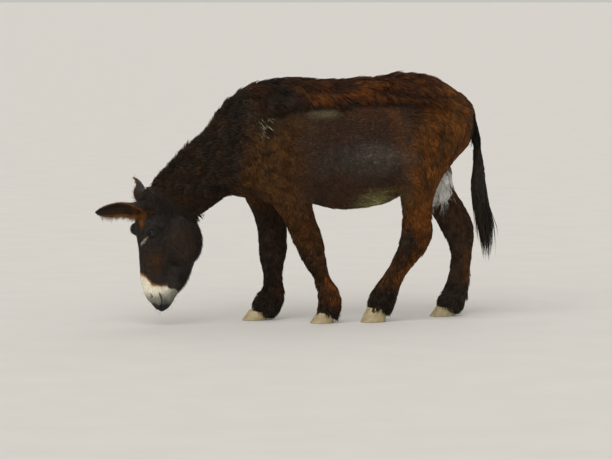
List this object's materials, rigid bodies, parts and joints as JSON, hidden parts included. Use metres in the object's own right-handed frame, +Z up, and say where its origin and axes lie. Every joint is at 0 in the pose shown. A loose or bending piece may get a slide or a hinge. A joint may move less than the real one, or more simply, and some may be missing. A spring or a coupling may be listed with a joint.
{
  "type": "donkey",
  "caption": "Life-size standing donkey in a shaggy dark winter coat, head lowered to graze, ears spread, pale muzzle, tail hanging.",
  "frame": {"origin": "middle of the bounding box, on the floor under the hooves", "axes": "+X from the head towards the tail, +Y from the animal's left side towards its right, +Z up"},
  "size_m": [2.0444, 0.493, 1.236],
  "materials": {
    "coat": "matte",
    "dark_coat": "matte",
    "tail_hair": "satin",
    "horn": "matte",
    "eye": "gloss"
  },
  "bodies": {
    "root": {"head": "dark_coat", "neck": "dark_coat", "trunk": "coat", "ear_left": "dark_coat", "ear_right": "dark_coat", "eye_left": "eye", "eye_right": "eye", "foreleg_left_upper": "coat", "foreleg_left_lower": "dark_coat", "hoof_fore_left": "horn", "foreleg_right_upper": "coat", "foreleg_right_lower": "dark_coat", "hoof_fore_right": "horn", "hindleg_left_upper": "coat", "hindleg_left_lower": "dark_coat", "hoof_hind_left": "horn", "hindleg_right_upper": "coat", "hindleg_right_lower": "dark_coat", "hoof_hind_right": "horn", "tail_dock": "dark_coat", "tail_switch": "tail_hair"}
  },
  "joints": []
}
